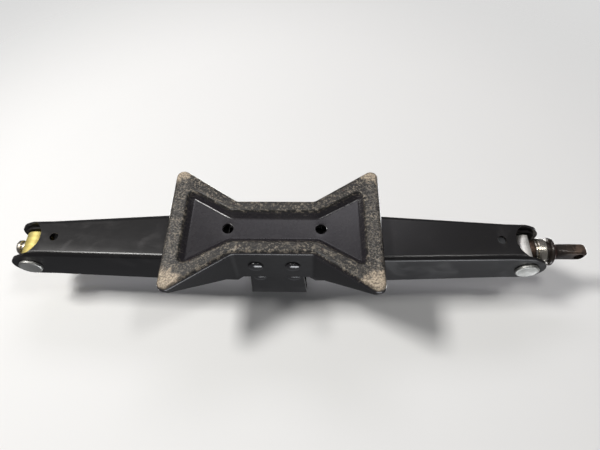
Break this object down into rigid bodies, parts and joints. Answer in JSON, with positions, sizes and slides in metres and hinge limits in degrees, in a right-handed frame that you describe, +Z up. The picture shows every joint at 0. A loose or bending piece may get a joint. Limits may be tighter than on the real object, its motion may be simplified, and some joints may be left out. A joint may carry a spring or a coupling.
{
  "type": "scissor jack",
  "caption": "Folding scissor car jack: pressed foot, four channel arms, saddle bracket and a lead screw with an eye for a hook handle.",
  "frame": {"origin": "centre of the foot, on the ground plane its rim stands on", "axes": "+Z up through the saddle (lift direction), +X along the lead screw towards the eye, +Y along the hinge pins"},
  "size_m": [0.4614, 0.104, 0.0915],
  "materials": {
    "foot_paint": "black paint, worn to grey and sand on the ground rim",
    "black_rivet": "glossy black paint over domed steel",
    "black_paint": "semi-gloss black paint on pressed steel",
    "yellow_zinc": "yellow-passivated zinc",
    "bright_zinc": "bright zinc plate",
    "screw_steel": "zinc-plated thread with grease",
    "brown_washer": "dark brown phosphated steel",
    "bearing_steel": "bright pressed steel",
    "eye_steel": "black-brown oiled forging"
  },
  "bodies": {
    "foot": {"foot_plate": "foot_paint", "foot_rivet_left": "black_rivet", "foot_rivet_right": "black_rivet"},
    "lower_left": {"lower_arm_left": "black_paint"},
    "lower_right": {"lower_arm_right": "black_paint"},
    "upper_left": {"upper_arm_left": "black_paint"},
    "upper_right": {"upper_arm_right": "black_paint"},
    "nut_block": {"nut_trunnion": "yellow_zinc", "cap_left_front": "bright_zinc", "cap_left_rear": "bright_zinc"},
    "thrust_block": {"thrust_trunnion": "bright_zinc", "cap_right_front": "bright_zinc", "cap_right_rear": "bright_zinc", "thrust_washer": "brown_washer", "bearing_race": "bearing_steel", "bearing_shell": "bearing_steel"},
    "screw": {"lead_screw": "screw_steel", "screw_eye": "eye_steel"},
    "head": {"head_bracket": "black_paint", "head_rivet_left": "black_rivet", "head_rivet_right": "black_rivet"}
  },
  "joints": [
    {"name": "lift", "type": "hinge", "parent": "foot", "child": "lower_left", "pos_m": [-0.0141, 0, 0.0212], "axis": [0, 1, 0], "range_deg": [0, 50]},
    {"name": "lower_right_swing", "type": "hinge", "parent": "foot", "child": "lower_right", "pos_m": [0.0141, 0, 0.0212], "axis": [0, 1, 0], "range_deg": [-50, 0]},
    {"name": "upper_left_swing", "type": "hinge", "parent": "lower_left", "child": "upper_left", "pos_m": [-0.1977, 0, 0.038], "axis": [0, 1, 0], "range_deg": [-100, 0]},
    {"name": "upper_right_swing", "type": "hinge", "parent": "lower_right", "child": "upper_right", "pos_m": [0.1977, 0, 0.038], "axis": [0, 1, 0], "range_deg": [0, 100]},
    {"name": "nut_level", "type": "hinge", "parent": "lower_left", "child": "nut_block", "pos_m": [-0.1977, 0, 0.038], "axis": [0, 1, 0], "range_deg": [-50, 0]},
    {"name": "thrust_level", "type": "hinge", "parent": "lower_right", "child": "thrust_block", "pos_m": [0.1977, 0, 0.038], "axis": [0, 1, 0], "range_deg": [0, 50]},
    {"name": "head_level", "type": "hinge", "parent": "upper_left", "child": "head", "pos_m": [-0.0141, 0, 0.0548], "axis": [0, 1, 0], "range_deg": [0, 50]},
    {"name": "screw_turn", "type": "hinge", "parent": "thrust_block", "child": "screw", "pos_m": [0.2, 0, 0.038], "axis": [1, 0, 0], "continuous": true}
  ],
  "couplings": [
    {"joint": "lower_right_swing", "follows": "lift", "ratio": -1},
    {"joint": "upper_left_swing", "follows": "lift", "ratio": -2},
    {"joint": "upper_right_swing", "follows": "lift", "ratio": 2},
    {"joint": "nut_level", "follows": "lift", "ratio": -1},
    {"joint": "thrust_level", "follows": "lift", "ratio": 1},
    {"joint": "head_level", "follows": "lift", "ratio": 1}
  ]
}
